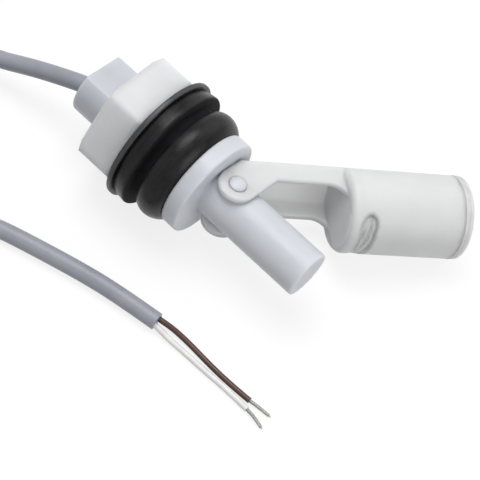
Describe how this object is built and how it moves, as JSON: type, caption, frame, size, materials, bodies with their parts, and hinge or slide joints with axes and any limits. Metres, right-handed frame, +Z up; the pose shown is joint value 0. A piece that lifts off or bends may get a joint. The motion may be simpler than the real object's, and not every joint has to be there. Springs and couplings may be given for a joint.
{
  "type": "float level switch",
  "caption": "Side-mounted float level switch with hinged float, reed stem, rubber compression grommet, clamp nut and two-core cable.",
  "frame": {"origin": "on the body's axis, in the middle of the wall seat", "axes": "+X along the body's axis into the tank, +Z up as the switch lies on a bench, +Y towards the side that the float opens to"},
  "size_m": [0.1491, 0.1203, 0.0314],
  "materials": {
    "body_plastic": "natural white polypropylene, satin",
    "float_plastic": "natural milky polypropylene, satin",
    "grommet_rubber": "black moulded rubber, satin",
    "washer_plastic": "black plastic disc, satin",
    "magnet_ferrite": "grey ferrite",
    "reed_glass": "pale green glass",
    "reed_alloy": "nickel iron, tinned",
    "sleeve_plastic": "yellow insulating sleeve",
    "solder": "tin solder",
    "cable_jacket": "grey PVC, satin",
    "brown_insulation": "brown PVC",
    "white_insulation": "white PVC",
    "tinned_copper": "tinned copper strands",
    "potting_resin": "pale grey casting resin"
  },
  "bodies": {
    "switch_body": {"body_shell": "body_plastic", "grommet": "grommet_rubber", "reed_glass": "reed_glass", "reed_lead_rear": "reed_alloy", "reed_lead_front": "reed_alloy", "lead_sleeve": "sleeve_plastic", "brown_core_inside": "brown_insulation", "white_core_inside": "white_insulation", "solder_brown": "solder", "solder_white": "solder", "potting": "potting_resin", "cable_upper_run": "cable_jacket", "cable_coil": "cable_jacket", "cable_lower_run": "cable_jacket", "brown_core_tail": "brown_insulation", "white_core_tail": "white_insulation", "brown_strands": "tinned_copper", "white_strands": "tinned_copper"},
    "washer": {"slip_washer": "washer_plastic"},
    "nut": {"clamp_nut": "body_plastic"},
    "float": {"float_shell": "float_plastic", "float_end_cap": "float_plastic", "magnet": "magnet_ferrite", "magnet_plug": "float_plastic"}
  },
  "joints": [
    {"name": "float_pivot", "type": "hinge", "parent": "switch_body", "child": "float", "pos_m": [0.016, 0, 0], "axis": [0, 0.1494, 0.9888], "range_deg": [-50, 3]},
    {"name": "nut_travel", "type": "slide", "parent": "switch_body", "child": "washer", "axis": [-1, 0, 0], "range_m": [0, 0.003]},
    {"name": "nut_turn", "type": "hinge", "parent": "washer", "child": "nut", "pos_m": [-0.0104, 0, 0], "axis": [-1, 0, 0], "range_deg": [0, 720]}
  ],
  "couplings": [
    {"joint": "nut_turn", "follows": "nut_travel", "rad_per_m": 4188.8}
  ]
}
